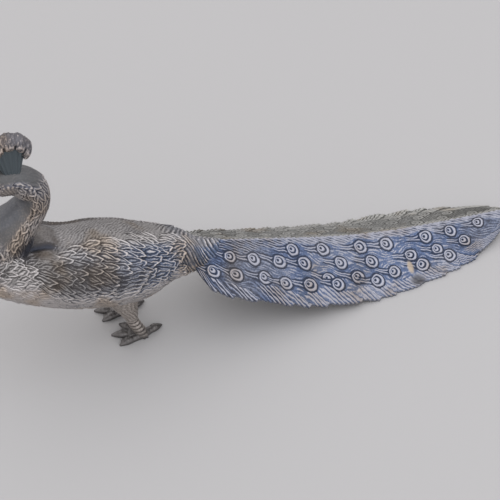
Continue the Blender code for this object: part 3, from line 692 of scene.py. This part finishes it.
def makeNeck(material):
    s = neckSettings
    path = np.array(neckPath)
    middles = path[:, :2] * s["height"]
    sizes = path[:, 2:] * s["radius"]
    beak = np.array(beakPath)
    middles = np.concatenate([middles, middles[-1] + beak[:, :2] * s["beak"]])
    sizes = np.concatenate([sizes, sizes[-1] * beak[:, 2:]])
    run = np.concatenate([[0], np.cumsum(np.linalg.norm(np.diff(middles, axis=0), axis=1))])
    values = np.concatenate([middles, sizes], axis=1)
    curve = curveReader(run, values, np.gradient(values, run, axis=0))
    place = np.linspace(0, run[-1], s["rows"])
    cx, cz, deep, wide = (curve(place, k) for k in range(4))
    tx, tz = np.gradient(cx, place), np.gradient(cz, place)
    size = np.hypot(tx, tz)
    ux, uz = tz / size, -tx / size  # points to the back of the neck and the crown

    T = roundTurns(s["rows"], s["columns"])
    skin = np.stack([
        cx[:, None] + ux[:, None] * np.cos(T) * deep[:, None],
        -np.sin(T) * wide[:, None],
        cz[:, None] + uz[:, None] * np.cos(T) * deep[:, None],
    ], axis=2)
    around = metresDown(skin)
    along = np.repeat(place[:, None], s["columns"], 1)
    degrees = degreesDown(T)

    handAlong, handAround = handDrawn(along, around, 0.00068, 2.0)
    tone = np.zeros_like(along)
    bend = ripple(along * 420, around * 520)
    height = 0.0001 * wave((along + 0.5 * around) / 0.0017 + 0.5 * bend)
    headAt = run[headRow]
    jitter = [scatter(900, 7 + k) for k in range(3)]
    n = k = 0
    spotA = 0.0
    length, width = s["scale"]
    # the feathers point down the neck, so the ones nearer the head lie on top
    while spotA < headAt - 0.006:
        half = math.pi * float(curve(spotA, 2))
        spotB = width * 0.45 * (k % 2)
        while spotB < half * 1.15:
            tilt = math.pi + math.radians(16 * math.sin(spotA * 300 + spotB * 420) + 20 * jitter[2][n])
            carveFeather((height, tone, handAlong, handAround, place),
                         (spotA + 0.0006 * jitter[0][n], spotB + 0.0005 * jitter[1][n]),
                         (length * (1 + 0.12 * jitter[1][n]), width * (1 + 0.1 * jitter[0][n])),
                         tilt, s["scaleLift"], s["scaleLine"], 0.35 * jitter[2][n])
            spotB += width * 0.9
            n += 1
        spotA += length * 0.56
        k += 1

    # bare throat, low on the front of the neck, and a smooth crown and nape
    throat = (softStep(degrees, 96, 122) * softStep(along, run[1], run[2])
              * (1 - softStep(along, run[5], run[6])))
    nape = softStep(along, run[6] - 0.003, run[6] + 0.003) * (1 - softStep(degrees, 52, 74))
    height = height * (1 - 0.93 * throat) * (1 - 0.8 * nape)
    tone = tone * (1 - throat) * (1 - nape)
    # smooth beak and face, with the line of the mouth and a nostril
    face = softStep(along, headAt + 0.0024, headAt + 0.007)
    height = height * (1 - 0.9 * face)
    tone = tone * (1 - face)
    beakStart = run[11]
    onBeak = softStep(along, beakStart - 0.004, beakStart)
    height -= 0.00045 * onBeak * bell(degrees, 104, 7)
    height -= 0.0004 * np.exp(-((along - beakStart - 0.0012) / 0.0011) ** 2
                               - ((degrees - 52) / 13) ** 2)
    # eye, its lid and the ring of dots round it
    da = along - headAt - 0.0052
    db = (degrees - 72.0) / 57.3 * 0.0068
    r = np.hypot(da, db * 1.12)
    dots = 0.5 + 0.5 * np.cos(np.arctan2(db, da) * 13)
    height = np.where(r < 0.0034, height * softStep(r, 0.0024, 0.0034), height)
    height += 0.00085 * np.sqrt(np.clip(1 - (r / 0.00135) ** 2, 0, 1))
    height += 0.00042 * bell(r, 0.0019, 0.0003)
    height -= 0.0003 * bell(r, 0.00152, 0.00018)
    height += 0.00045 * bell(r, 0.0029, 0.00042) * dots ** 1.5
    # a row of beads from the eye back over the cheek
    beads = bell((degrees - 78) * 0.00013, 0, 0.0009)
    beads = beads * (1 - softStep(along, headAt + 0.001, headAt + 0.0026))
    beads = beads * softStep(along, run[6] - 0.002, run[6] + 0.001)
    height = height * (1 - 0.7 * beads) + 0.00045 * beads * (0.5 + 0.5 * wave(along / 0.0021))
    crevice = np.clip(creviceOf(height, 3, 0.001, True) + tone - 0.04, 0, 1)
    points = carvedSkin(skin, height)
    shade = notchShade(points)
    rear = softStep(along, run[3], run[5]) * (1 - softStep(degrees, 60, 105))
    crevice = np.clip(crevice + 0.9 * shade, 0, 1)
    # painted shade: the throat is darkened as a painted reflection of the head's shaded underside, and
    # the crown under the crest as painted shade
    stainAndPaintedShade = 0.62 * throat + 0.78 * nape
    # blue tint: blue tarnish, with a painted sky reflection on the back of the neck and on the throat
    blueTarnishAndPaintedLight = np.clip(0.12 + 0.35 * throat + 0.55 * rear * (1 - 0.7 * nape) + shade, 0, 1)
    closeSeam(points, crevice, stainAndPaintedShade, blueTarnishAndPaintedLight)
    wear(gridPiece("neckAndHead", material, points, crevice, stainAndPaintedShade, blueTarnishAndPaintedLight))


# Settings of the crest
crestSettings = {
    "height": 0.0198,
    "setBack": 0.0036,
    "rootHeight": 0.004526,
    "droop": 0.22,
    "rimRadius": 0.0046,
    "spread": 34.0,         # degrees to each side
    "knobs": 5,
    "stemThickness": 0.0042,
    "rootSpread": 0.0046,
    "rootSwell": 1.1,
    "rimRows": 150,
    "rimColumns": 80,
    "stemRows": 36,
    "stemColumns": 169,
    "flutes": 16,
}


def crestPoint(lean, share):
    c = crestSettings
    headX, headZ = (value * neckSettings["height"] for value in neckPath[headRow][:2])
    root = np.array((headX + c["setBack"], 0, headZ + c["rootHeight"]))
    lean = np.asarray(lean, float)
    reach = c["height"] * (1 - c["droop"] * (lean / math.radians(c["spread"])) ** 2) * share
    return root + np.stack([np.sin(lean) * reach, 0 * lean, np.cos(lean) * reach], axis=-1)


def makeCrest(material):
    c = crestSettings
    spread = math.radians(c["spread"])
    end = spread + 0.85 * c["rimRadius"] / c["height"]
    lean = np.linspace(-end * 0.998, end * 0.998, c["rimRows"])
    middle = crestPoint(lean, 1.0)
    out = np.stack([np.sin(lean), 0 * lean, np.cos(lean)], axis=1)
    T = roundTurns(c["rimRows"], c["rimColumns"])
    knob = (lean / spread + 1) / 2 * (c["knobs"] - 1)
    offKnob = np.repeat((knob - np.round(knob))[:, None], c["rimColumns"], 1)
    closing = np.sqrt(np.clip(1 - np.clip((np.abs(lean) - spread) / (end - spread), 0, 1) ** 2, 0, 1))
    size = (c["rimRadius"] * (0.95 + 0.05 * wave(knob)) * closing)[:, None]
    skin = (middle[:, None, :] + out[:, None, :] * (np.cos(T) * size)[..., None]
            + np.array((0, 1.0, 0)) * (np.sin(T) * size)[..., None])
    # the top of the roll is smooth, each feather end below it is a round cell with a pale lip
    degrees = degreesDown(T)
    gapA, gapB = offKnob * 0.0048, (degrees - 112) / 57.3 * size
    r = np.hypot(gapA, gapB)
    belowTop = softStep(degrees, 70, 92)
    lip = bell(r, 0.0018, 0.0005) * belowTop
    gap = bell(np.abs(offKnob), 0.5, 0.09) * belowTop
    height = 0.0002 * lip - 0.00008 * bell(r, 0, 0.0009) * belowTop - 0.00055 * gap
    height = height + 0.00022 * ripple(lean[:, None] * 40, T * 5.0, 1.0)
    grooves = knob[:, None] * 4 + 0.3 * np.cos(T) + 0.3 * ripple(lean[:, None] * 20, T * 3)
    height += 0.00006 * wave(grooves)
    height = height * closing[:, None]
    # painted highlights, patchy, on the sides and underside of the roll
    pale = softStep(degrees, 62, 84) * (0.5 + 0.5 * ripple(lean[:, None] * 60, T * 5, 2.0))
    crevice = creviceOf(height, 3, 0.003, True) + 0.12 * ripple(lean[:, None] * 90, T * 7, 5.0)
    crevice = np.clip(crevice - 0.1 * lip - 0.26 * pale + 0.35 * gap, 0, 1)
    points = carvedSkin(skin, height)
    closeSeam(points, crevice)
    wear(gridPiece("crestRim", material, points, crevice, 0.1, 0.2))

    # grooved stems under the rim, one plate that narrows to the crown
    shares = np.linspace(0.02, 0.98, c["stemRows"])
    around = np.linspace(0, 2 * np.pi, c["stemColumns"])
    lean = spread * 0.9 * np.cos(around)
    across = np.arccos(np.clip(np.cos(around), -1, 1))
    flutes = np.cos(across * c["flutes"])
    closing = np.sqrt(np.clip(1 - np.abs(np.cos(around)) ** 8, 0, 1))
    rows = []
    for share in shares:
        row = crestPoint(lean, share)
        row[:, 0] += c["rootSpread"] * (1 - share) * lean / spread
        thick = c["stemThickness"] / 2 * (1 + c["rootSwell"] * (1 - share) ** 1.5)
        flute = 0.88 + 0.12 * flutes * (0.25 + 0.75 * share)
        row[:, 1] = np.sign(np.sin(around)) * flute * closing * thick
        rows.append(row)
    points = np.array(rows)
    closeSeam(points)
    crevice = np.clip(0.65 - 0.16 * flutes[None, :], 0, 1)
    # the stems are darkened all over: painted shade under the rim
    wear(gridPiece("crestStems", material, points, crevice, 0.92, 0.5))


# Settings of the legs and feet
legSettings = {
    "spacing": 0.02,
    "shankHeight": 0.018,
    "rings": 6,
    "ringDepth": 0.0006,
    "thighRadius": 0.0088,
    "rootDepth": 0.0085,    # under the hips, inside the body
    "toeLength": 0.0168,
    "hindToeLength": 0.0125,
    "toeHeight": 0.0042,
    "toeWidth": 0.0056,
    "toeSpread": 32.0,
    "footTurn": 20.0,       # towards the bird's right
    "hindToeTurn": 163.0,
    "webHeight": 0.003,
    "grid": (170, 60),      # rows down a leg and columns round it
    "webGrid": (36, 48),
    "toeGrid": (64, 32),
    "rightStep": 0.0035,    # the right foot stands this far ahead
}
# share down, place along, depth and width in thigh radii, share of the right leg's step
legShape = smoothTable((
    (0.000, -0.0086, 1.04, 0.74, 0.0), (0.136, -0.0084, 1.02, 0.74, 0.0),
    (0.321, -0.0074, 0.80, 0.66, 0.0), (0.481, -0.0056, 0.56, 0.52, 0.2),
    (0.592, -0.0046, 0.433, 0.433, 0.3), (0.640, -0.0042, 0.386, 0.386, 0.36),
    (1.000, 0.0015, 0.386, 0.386, 1.0),
))
# share of a toe, height and width
toeShape = smoothTable((
    (-0.18, 0.80, 0.90), (0.15, 1.00, 1.00), (0.42, 0.80, 0.86), (0.62, 0.92, 0.92),
    (0.84, 0.60, 0.62), (1.00, 0.22, 0.20),
))


def makeLeg(side, name, material):
    g = legSettings
    y0 = side * g["spacing"] / 2
    ankle = g["toeHeight"] * 0.35
    q = np.linspace(0, 1, g["grid"][0])
    z = ((bodySettings["hipHeight"] - g["rootDepth"]) * (1 - q) + ankle * q)[:, None]
    T = roundTurns(*g["grid"])
    deep = legShape(q, 1)[:, None] * g["thighRadius"]
    wide = legShape(q, 2)[:, None] * g["thighRadius"]
    step = g["rightStep"] if side > 0 else 0.0
    middle = (legShape(q) - step * legShape(q, 3))[:, None]
    skin = np.stack([middle + deep * np.cos(T), y0 + wide * np.sin(T), z + 0 * T], axis=2)
    onShank = softStep(q, 0.58, 0.63)[:, None]
    downShank = (g["shankHeight"] - z) / (g["shankHeight"] - ankle)
    rings = (0.5 - 0.5 * wave(downShank * g["rings"] + 0.1 * np.sin(T + 0.6))) ** 0.5
    hatch = ripple(z * 3100, wide * T * 2600, 1.0) + 0.6 * ripple(z * 5200, wide * T * 4700, 2.0)
    height = onShank * g["ringDepth"] * (rings - 0.8) + (1 - onShank) * 0.00026 * hatch
    crevice = np.clip(creviceOf(height, 3, 0.00075, True), 0, 1)
    points = carvedSkin(skin, height)
    closeSeam(points, crevice)
    # darker towards the bottom of the leg
    stainAndPaintedShade = 0.06 + 0.55 * softStep(0.01 - points[..., 2], 0, 0.008)
    foot = (0.0014 - step, y0)
    parts = [gridPiece(name, material, points, crevice, stainAndPaintedShade, 0.15), makeWeb(foot, material)]
    for degrees, length, bulk in (
            (g["footTurn"] - g["toeSpread"], g["toeLength"] * 0.84, 0.95),
            (g["footTurn"], g["toeLength"], 1.0),
            (g["footTurn"] + g["toeSpread"], g["toeLength"] * 0.9, 0.97),
            (g["hindToeTurn"], g["hindToeLength"], 0.91)):
        parts.append(makeToe(foot, degrees, length, bulk, material))
    bpy.ops.object.select_all(action="DESELECT")
    for part in parts:
        part.select_set(True)
    bpy.context.view_layer.objects.active = parts[0]
    bpy.ops.object.join()
    wear(parts[0])


def footPiece(name, material, foot, degrees, along, aside, up, crevice):
    # a form on the table, laid out in metres along its direction, aside and up
    angle = math.radians(degrees)
    ahead = np.array((-math.cos(angle), math.sin(angle), 0))
    across = np.array((-ahead[1], ahead[0], 0))
    points = (np.array((*foot, 0)) + ahead * along[..., None] + across * aside[..., None]
              + np.array((0, 0, 1.0)) * up[..., None])
    closeSeam(points)
    return gridPiece(name, material, points, crevice, 0.85, 0.2)


def makeWeb(foot, material):
    # the low web that joins the three toes ahead
    g = legSettings
    q = np.linspace(0.02, 0.7, g["webGrid"][0])
    T = roundTurns(*g["webGrid"])
    fan = math.tan(math.radians(g["toeSpread"])) * g["toeLength"]
    half = (fan * np.maximum(q, 0.1))[:, None]
    tall = (g["webHeight"] * (1.28 - 0.62 * softStep(q, 0.34, 0.7)))[:, None]
    up = np.clip(np.cos(T) * 0.95 + 0.45, 0, 1) * tall
    # the front edge curves in between the toes
    curl = 0.08 * (1 - np.cos(np.sin(T) * 2 * np.pi)) * softStep(q, 0.3, 0.7)[:, None]
    reach = (q[:, None] - curl) * g["toeLength"]
    return footPiece("web", material, foot, g["footTurn"], reach, np.sin(T) * half, up, 0.5)


def makeToe(foot, degrees, length, bulk, material):
    g = legSettings
    q = np.linspace(-0.18, 1.0, g["toeGrid"][0])
    T = roundTurns(*g["toeGrid"])
    half = toeShape(q, 1)[:, None] * g["toeWidth"] / 2 * bulk
    tall = toeShape(q)[:, None] * g["toeHeight"] * bulk
    plates = (0.5 + 0.5 * wave(q * 6.5))[:, None] ** 3 * (q < 0.8)[:, None]
    up = np.clip(np.cos(T) * 0.62 + 0.38, 0, 1) * tall * (1 - 0.07 * plates)
    aside = np.sin(T) * half * (1 - 0.14 * (up < 1e-6))  # drawn in where it meets the table
    crevice = np.clip(0.4 + 0.2 * plates + 0.25 * (up < 0.001), 0, 1)
    return footPiece("toe", material, foot, degrees, (q * length)[:, None], aside, up, crevice)


# Finishes, with painted shade and a painted sky reflection in some colours

wearAndPaintedLightColors = ("Polished", "Middle", "Tarnish", "StainAndShade", "BlueOfTarnishAndReflection")
dirtTint = (0.86, 0.74, 0.6)
scarColor = (0.36, 0.3, 0.24)


def silverWearAndPaintedLightGroup():
    # polished where hands and cloths reach, dark tarnish down in the carving, plus painted shade and a
    # painted sky reflection from the stain and blue values
    group = bpy.data.node_groups.new("silverWearAndPaintedLight", "ShaderNodeTree")
    sockets = [(key, "INPUT", "NodeSocketColor") for key in wearAndPaintedLightColors]
    sockets += [("Patchiness", "INPUT", "NodeSocketFloat"), ("Color", "OUTPUT", "NodeSocketColor"),
                ("Roughness", "OUTPUT", "NodeSocketFloat"), ("Grain", "OUTPUT", "NodeSocketFloat")]
    for key, way, kind in sockets:
        group.interface.new_socket(name=key, in_out=way, socket_type=kind)
    nodes, links = group.nodes, group.links
    into, out = nodes.new("NodeGroupInput"), nodes.new("NodeGroupOutput")
    coords = nodes.new("ShaderNodeTexCoord")

    def attribute(name):
        node = nodes.new("ShaderNodeAttribute")
        node.attribute_name = name
        return node.outputs["Fac"]

    def noise(scale, detail):
        node = nodes.new("ShaderNodeTexNoise")
        node.inputs["Scale"].default_value = scale
        node.inputs["Detail"].default_value = detail
        links.new(coords.outputs["Object"], node.inputs["Vector"])
        return node.outputs["Fac"]

    def calculate(operation, a, b):
        node = nodes.new("ShaderNodeMath")
        node.operation = operation
        for socket, value in zip(node.inputs, (a, b)):
            if isinstance(value, (int, float)):
                socket.default_value = value
            else:
                links.new(value, socket)
        return node.outputs[0]

    def mapTo(value, low, high, newLow=0.0, newHigh=1.0):
        node = nodes.new("ShaderNodeMapRange")
        node.interpolation_type = "SMOOTHSTEP"
        links.new(value, node.inputs["Value"])
        keys = ("From Min", "From Max", "To Min", "To Max")
        for key, number in zip(keys, (low, high, newLow, newHigh)):
            node.inputs[key].default_value = number
        return node.outputs["Result"]

    def plainColor(color):
        node = nodes.new("ShaderNodeRGB")
        node.outputs[0].default_value = (*color, 1)
        return node.outputs[0]

    def mixColors(factor, a, b, blend="MIX"):
        node = nodes.new("ShaderNodeMix")
        node.data_type = "RGBA"
        node.blend_type = blend
        links.new(factor, node.inputs["Factor"])
        links.new(a, node.inputs[6])
        links.new(b, node.inputs[7])
        return node.outputs[2]

    crevice, stainAndPaintedShade, blueTarnishAndPaintedLight = (attribute(name) for name in lookNames)
    patch, speck = noise(70, 5), noise(1100, 3)
    uneven = calculate("MULTIPLY", calculate("SUBTRACT", patch, 0.5), into.outputs["Patchiness"])
    fine = calculate("MULTIPLY", calculate("SUBTRACT", speck, 0.5), 0.52)
    depth = calculate("ADD", calculate("ADD", crevice, uneven), fine)
    color = mixColors(mapTo(depth, 0.52, 0.84), into.outputs["Middle"], into.outputs["Tarnish"])
    # the blue tint, blue tarnish and painted sky reflection, laid on in uneven patches
    blueTarnishAndPaintedLightHere = calculate("MULTIPLY", blueTarnishAndPaintedLight, mapTo(noise(34, 3), 0.38, 0.6, 0.55, 1.0))
    color = mixColors(blueTarnishAndPaintedLightHere, color, into.outputs["BlueOfTarnishAndReflection"], "MULTIPLY")
    color = mixColors(mapTo(depth, 0.2, 0.52), into.outputs["Polished"], color)
    dirtHere = mapTo(noise(52, 4), 0.48, 0.66, 0.0, 0.75)
    color = mixColors(dirtHere, color, plainColor(dirtTint), "MULTIPLY")
    # stain colour, which also lays painted shade where the pieces ask for it
    color = mixColors(mapTo(stainAndPaintedShade, 0.0, 1.0), color, into.outputs["StainAndShade"])
    # a stain below 0 is the bared scar
    color = mixColors(mapTo(stainAndPaintedShade, -0.1, -0.8), color, plainColor(scarColor))
    links.new(color, out.inputs["Color"])
    links.new(mapTo(depth, 0.2, 0.8, 0.34, 0.62), out.inputs["Roughness"])
    links.new(speck, out.inputs["Grain"])
    return group


wearAndPaintedLightGroup = silverWearAndPaintedLightGroup()


def silver(name, patchiness, *colors):
    material = bpy.data.materials.new(name)
    material.use_nodes = True
    nodes, links = material.node_tree.nodes, material.node_tree.links
    shader = nodes["Principled BSDF"]
    group = nodes.new("ShaderNodeGroup")
    group.node_tree = wearAndPaintedLightGroup
    for key, color in zip(wearAndPaintedLightColors, (*colors, blueTarnishAndPaintedLightTint)):
        group.inputs[key].default_value = (*color, 1)
    group.inputs["Patchiness"].default_value = patchiness
    bump = nodes.new("ShaderNodeBump")
    bump.inputs["Strength"].default_value = 0.25
    bump.inputs["Distance"].default_value = 0.0002
    shader.inputs["Metallic"].default_value = 0.82
    links.new(group.outputs["Color"], shader.inputs["Base Color"])
    links.new(group.outputs["Roughness"], shader.inputs["Roughness"])
    links.new(group.outputs["Grain"], bump.inputs["Height"])
    links.new(bump.outputs["Normal"], shader.inputs["Normal"])
    return material


# the blue of the tarnish and of the painted sky reflection
blueTarnishAndPaintedLightTint = (0.4, 0.56, 0.92)
# patchiness, then the polished, middle, tarnish and stain colours, the stain colour also standing for
# painted shade
finishes = {
    "train": silver("trainSilver", 0.5, (0.345, 0.35, 0.398), (0.235, 0.24, 0.262),
                    (0.1, 0.095, 0.1), (0.055, 0.055, 0.06)),
    # the train's far side: a darker, warmer copy of the train silver, partly warm tarnish and partly a
    # painted reflection of the shaded table
    "trainFarTarnishAndReflection": silver("trainFarTarnishAndReflectionSilver", 0.35, (0.36, 0.354, 0.332), (0.182, 0.18, 0.166),
                       (0.07, 0.068, 0.059), (0.055, 0.055, 0.06)),
    "body": silver("bodySilver", 0.35, (0.48, 0.45, 0.44), (0.258, 0.243, 0.23),
                   (0.095, 0.087, 0.083), (0.085, 0.068, 0.055)),
    "neck": silver("neckSilver", 0.35, (0.46, 0.42, 0.4), (0.235, 0.217, 0.205),
                   (0.08, 0.074, 0.074), (0.1, 0.102, 0.104)),
    "crest": silver("crestSilver", 0.35, (0.51, 0.455, 0.43), (0.15, 0.141, 0.145),
                    (0.045, 0.045, 0.05), (0.098, 0.118, 0.13)),
    "legs": silver("legSilver", 0.45, (0.6, 0.54, 0.5), (0.33, 0.29, 0.25),
                   (0.09, 0.075, 0.065), (0.118, 0.112, 0.11)),
}
print("finishes ready")

trainSide(-1, "trainLeft", finishes["train"])
trainSide(1, "trainRight", finishes["trainFarTarnishAndReflection"])
print("train carved")
makeBody(finishes["body"])
print("body carved")
makeNeck(finishes["neck"])
makeCrest(finishes["crest"])
print("neck, head and crest carved")
makeLeg(-1, "legLeft", finishes["legs"])
makeLeg(1, "legRight", finishes["legs"])
print("legs and feet made")


# Table, light and camera
tableSettings = {"color": (0.425, 0.418, 0.415), "size": 9.0, "roughness": 0.7}
bpy.ops.mesh.primitive_plane_add(size=tableSettings["size"], location=(0, 0, 0))
table = bpy.context.active_object
table.name = "table"
paint = bpy.data.materials.new("palePaint")
paint.use_nodes = True
coat = paint.node_tree.nodes["Principled BSDF"].inputs
coat["Base Color"].default_value = (*tableSettings["color"], 1)
coat["Roughness"].default_value = tableSettings["roughness"]
table.data.materials.append(paint)

skySettings = {"color": (0.98, 0.97, 1.0), "strength": 1.03}
sky = bpy.data.worlds.new("softSky")
bpy.context.scene.world = sky
sky.use_nodes = True
glow = sky.node_tree.nodes["Background"].inputs
glow["Color"].default_value = (*skySettings["color"], 1)
glow["Strength"].default_value = skySettings["strength"]


lightAim = Vector((0, 0, 0.03))


def softLight(name, place, size, power, color):
    bpy.ops.object.light_add(type="AREA", location=place)
    light = bpy.context.active_object
    light.name = name
    light.data.shape = "RECTANGLE"
    light.data.size, light.data.size_y = size
    light.data.energy = power
    light.data.color = color
    light.rotation_euler = (lightAim - Vector(place)).to_track_quat("-Z", "Y").to_euler()


softLight("windowLight", (-0.4, 0.9, 1.4), (1.8, 1.4), 3.5, (1.0, 0.97, 0.92))
softLight("skyLight", (0.3, -0.6, 1.5), (2.2, 1.8), 8.3, (0.92, 0.96, 1.0))
softLight("frontFill", (0.1, -1.4, 0.32), (1.8, 0.5), 1.3, (0.97, 0.98, 1.0))

cameraSettings = {
    "azimuth": 20.5,       # degrees, looking from the bird's left side
    "elevation": 46.0,
    "distance": 1.026,
    "lens": 136.8,
    "aimOffset": (-0.06079, -0.03842),  # the feet's place in the frame, right and up
}
a, e = math.radians(cameraSettings["azimuth"]), math.radians(cameraSettings["elevation"])
look = Vector((math.sin(a) * math.cos(e), math.cos(a) * math.cos(e), -math.sin(e)))
right = Vector((math.cos(a), -math.sin(a), 0))
upward = right.cross(look)
across, up = cameraSettings["aimOffset"]
bpy.ops.object.camera_add()
camera = bpy.context.active_object
camera.name = "camera"
toFeet = (look + across * right + up * upward) * cameraSettings["distance"]
camera.location = Vector((feetX, 0, 0)) - toFeet
camera.rotation_euler = Matrix((right, upward, -look)).transposed().to_euler()
camera.data.lens = cameraSettings["lens"]
camera.data.sensor_width = 36
camera.data.clip_end = 20
bpy.context.scene.camera = camera
bpy.context.scene.view_settings.view_transform = "Standard"
print("table, lights and camera set")
